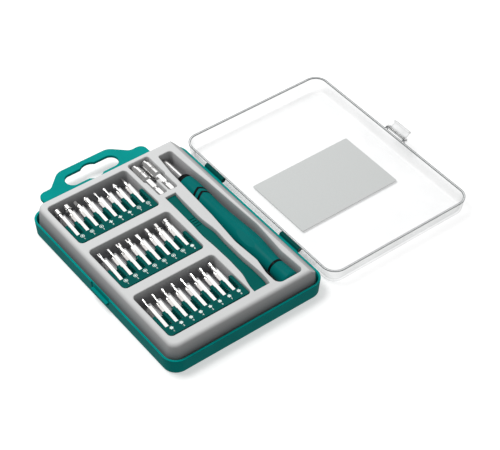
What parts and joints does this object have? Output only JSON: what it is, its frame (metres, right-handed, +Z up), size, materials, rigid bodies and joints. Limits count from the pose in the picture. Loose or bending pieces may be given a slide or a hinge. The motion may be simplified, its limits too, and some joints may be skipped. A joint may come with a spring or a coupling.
{
  "type": "precision screwdriver set",
  "caption": "Boxed precision screwdriver set: hinged case, racked hex bits, adapters, swivel-cap driver and pry tool, lid open flat.",
  "frame": {"origin": "middle of the case's footprint, on the floor under it", "axes": "+X along the case away from its carry tab, +Y from the latch side to the hinge side, +Z up"},
  "size_m": [0.184, 0.2518, 0.0219],
  "materials": {
    "teal_case": "satin injection-moulded polypropylene, teal",
    "grey_insert": "fine satin polypropylene, pale grey",
    "clear_lid": "clear moulded polystyrene",
    "clear_clip": "clear moulded polycarbonate",
    "steel_pin": "plain drawn steel wire",
    "grey_card": "uncoated pale grey card",
    "teal_rack": "moulded teal polypropylene",
    "tool_steel": "hardened tool steel, satin",
    "chrome_steel": "polished nickel-chrome plate",
    "magnet": "nickel-plated magnet",
    "spring_wire": "spring steel",
    "black_plastic": "black ABS",
    "teal_grip": "soft-touch elastomer, teal",
    "teal_pry": "moulded teal nylon"
  },
  "bodies": {
    "case_base": {"base_tray": "teal_case", "insert_tray": "grey_insert"},
    "case_lid": {"lid": "clear_lid", "label_card": "grey_card", "latch_pin": "steel_pin"},
    "lid_clip": {"latch_clip": "clear_clip"},
    "rack_1": {"bit_rack_1": "teal_rack"},
    "nut_3_bit_loose": {"nut_3_bit": "tool_steel"},
    "nut_4_bit_loose": {"nut_4_bit": "tool_steel"},
    "square_2_bit_loose": {"square_2_bit": "tool_steel"},
    "cross_2_bit_loose": {"cross_2_bit": "tool_steel"},
    "cross_000_bit_loose": {"cross_000_bit": "tool_steel"},
    "cross_00_bit_loose": {"cross_00_bit": "tool_steel"},
    "spear_bit_loose": {"spear_bit": "tool_steel"},
    "triangle_bit_loose": {"triangle_bit": "tool_steel"},
    "rack_2": {"bit_rack_2": "teal_rack"},
    "fork_small_bit_loose": {"fork_small_bit": "tool_steel"},
    "slot_10_bit_loose": {"slot_10_bit": "tool_steel"},
    "fork_wide_bit_loose": {"fork_wide_bit": "tool_steel"},
    "fork_large_bit_loose": {"fork_large_bit": "tool_steel"},
    "slot_20_bit_loose": {"slot_20_bit": "tool_steel"},
    "hex_25_bit_loose": {"hex_25_bit": "tool_steel"},
    "hex_30_bit_loose": {"hex_30_bit": "tool_steel"},
    "star_15_bit_loose": {"star_15_bit": "tool_steel"},
    "rack_3": {"bit_rack_3": "teal_rack"},
    "star_3_bit_loose": {"star_3_bit": "tool_steel"},
    "star_4_bit_loose": {"star_4_bit": "tool_steel"},
    "star_5_bit_loose": {"star_5_bit": "tool_steel"},
    "star_6_bit_loose": {"star_6_bit": "tool_steel"},
    "five_lobe_1_bit_loose": {"five_lobe_1_bit": "tool_steel"},
    "star_7_bit_loose": {"star_7_bit": "tool_steel"},
    "star_8_bit_loose": {"star_8_bit": "tool_steel"},
    "star_10_bit_loose": {"star_10_bit": "tool_steel"},
    "adapter_1": {"adapter_1_body": "chrome_steel", "adapter_1_magnet": "magnet", "adapter_1_ring": "spring_wire"},
    "adapter_2": {"adapter_2_body": "chrome_steel", "adapter_2_magnet": "magnet", "adapter_2_ring": "spring_wire"},
    "driver": {"driver_shaft": "chrome_steel", "driver_magnet": "magnet", "driver_collar": "black_plastic", "driver_grip": "teal_grip", "grip_band_front": "black_plastic", "grip_band_rear": "black_plastic", "cap_ring": "black_plastic", "cap_pivot": "steel_pin"},
    "driver_cap": {"swivel_cap": "teal_grip"},
    "pry": {"pry_tool": "teal_pry"}
  },
  "joints": [
    {"name": "lid_hinge", "type": "hinge", "parent": "case_base", "child": "case_lid", "pos_m": [0, 0.0615, 0.01178], "axis": [1, 0, 0], "range_deg": [0, 180]},
    {"name": "clip_hinge", "type": "hinge", "parent": "case_lid", "child": "lid_clip", "pos_m": [0.003, 0.1844, 0.0128], "axis": [1, 0, 0], "range_deg": [0, 55]},
    {"name": "rack_1_lift", "type": "slide", "parent": "case_base", "child": "rack_1", "axis": [0, 0, 1], "range_m": [0, 0.045]},
    {"name": "nut_3_bit_lift", "type": "slide", "parent": "rack_1", "child": "nut_3_bit_loose", "axis": [0, 0, 1], "range_m": [0, 0.045]},
    {"name": "nut_4_bit_lift", "type": "slide", "parent": "rack_1", "child": "nut_4_bit_loose", "axis": [0, 0, 1], "range_m": [0, 0.045]},
    {"name": "square_2_bit_lift", "type": "slide", "parent": "rack_1", "child": "square_2_bit_loose", "axis": [0, 0, 1], "range_m": [0, 0.045]},
    {"name": "cross_2_bit_lift", "type": "slide", "parent": "rack_1", "child": "cross_2_bit_loose", "axis": [0, 0, 1], "range_m": [0, 0.045]},
    {"name": "cross_000_bit_lift", "type": "slide", "parent": "rack_1", "child": "cross_000_bit_loose", "axis": [0, 0, 1], "range_m": [0, 0.045]},
    {"name": "cross_00_bit_lift", "type": "slide", "parent": "rack_1", "child": "cross_00_bit_loose", "axis": [0, 0, 1], "range_m": [0, 0.045]},
    {"name": "spear_bit_lift", "type": "slide", "parent": "rack_1", "child": "spear_bit_loose", "axis": [0, 0, 1], "range_m": [0, 0.045]},
    {"name": "triangle_bit_lift", "type": "slide", "parent": "rack_1", "child": "triangle_bit_loose", "axis": [0, 0, 1], "range_m": [0, 0.045]},
    {"name": "rack_2_lift", "type": "slide", "parent": "case_base", "child": "rack_2", "axis": [0, 0, 1], "range_m": [0, 0.045]},
    {"name": "fork_small_bit_lift", "type": "slide", "parent": "rack_2", "child": "fork_small_bit_loose", "axis": [0, 0, 1], "range_m": [0, 0.045]},
    {"name": "slot_10_bit_lift", "type": "slide", "parent": "rack_2", "child": "slot_10_bit_loose", "axis": [0, 0, 1], "range_m": [0, 0.045]},
    {"name": "fork_wide_bit_lift", "type": "slide", "parent": "rack_2", "child": "fork_wide_bit_loose", "axis": [0, 0, 1], "range_m": [0, 0.045]},
    {"name": "fork_large_bit_lift", "type": "slide", "parent": "rack_2", "child": "fork_large_bit_loose", "axis": [0, 0, 1], "range_m": [0, 0.045]},
    {"name": "slot_20_bit_lift", "type": "slide", "parent": "rack_2", "child": "slot_20_bit_loose", "axis": [0, 0, 1], "range_m": [0, 0.045]},
    {"name": "hex_25_bit_lift", "type": "slide", "parent": "rack_2", "child": "hex_25_bit_loose", "axis": [0, 0, 1], "range_m": [0, 0.045]},
    {"name": "hex_30_bit_lift", "type": "slide", "parent": "rack_2", "child": "hex_30_bit_loose", "axis": [0, 0, 1], "range_m": [0, 0.045]},
    {"name": "star_15_bit_lift", "type": "slide", "parent": "rack_2", "child": "star_15_bit_loose", "axis": [0, 0, 1], "range_m": [0, 0.045]},
    {"name": "rack_3_lift", "type": "slide", "parent": "case_base", "child": "rack_3", "axis": [0, 0, 1], "range_m": [0, 0.045]},
    {"name": "star_3_bit_lift", "type": "slide", "parent": "rack_3", "child": "star_3_bit_loose", "axis": [0, 0, 1], "range_m": [0, 0.045]},
    {"name": "star_4_bit_lift", "type": "slide", "parent": "rack_3", "child": "star_4_bit_loose", "axis": [0, 0, 1], "range_m": [0, 0.045]},
    {"name": "star_5_bit_lift", "type": "slide", "parent": "rack_3", "child": "star_5_bit_loose", "axis": [0, 0, 1], "range_m": [0, 0.045]},
    {"name": "star_6_bit_lift", "type": "slide", "parent": "rack_3", "child": "star_6_bit_loose", "axis": [0, 0, 1], "range_m": [0, 0.045]},
    {"name": "five_lobe_1_bit_lift", "type": "slide", "parent": "rack_3", "child": "five_lobe_1_bit_loose", "axis": [0, 0, 1], "range_m": [0, 0.045]},
    {"name": "star_7_bit_lift", "type": "slide", "parent": "rack_3", "child": "star_7_bit_loose", "axis": [0, 0, 1], "range_m": [0, 0.045]},
    {"name": "star_8_bit_lift", "type": "slide", "parent": "rack_3", "child": "star_8_bit_loose", "axis": [0, 0, 1], "range_m": [0, 0.045]},
    {"name": "star_10_bit_lift", "type": "slide", "parent": "rack_3", "child": "star_10_bit_loose", "axis": [0, 0, 1], "range_m": [0, 0.045]},
    {"name": "adapter_1_lift", "type": "slide", "parent": "case_base", "child": "adapter_1", "axis": [0, 0, 1], "range_m": [0, 0.045]},
    {"name": "adapter_2_lift", "type": "slide", "parent": "case_base", "child": "adapter_2", "axis": [0, 0, 1], "range_m": [0, 0.045]},
    {"name": "driver_lift", "type": "slide", "parent": "case_base", "child": "driver", "axis": [0, 0, 1], "range_m": [0, 0.045]},
    {"name": "cap_spin", "type": "hinge", "parent": "driver", "child": "driver_cap", "pos_m": [0.062, 0.0384, 0.0146], "axis": [1, 0, 0], "continuous": true},
    {"name": "pry_lift", "type": "slide", "parent": "case_base", "child": "pry", "axis": [0, 0, 1], "range_m": [0, 0.045]}
  ]
}
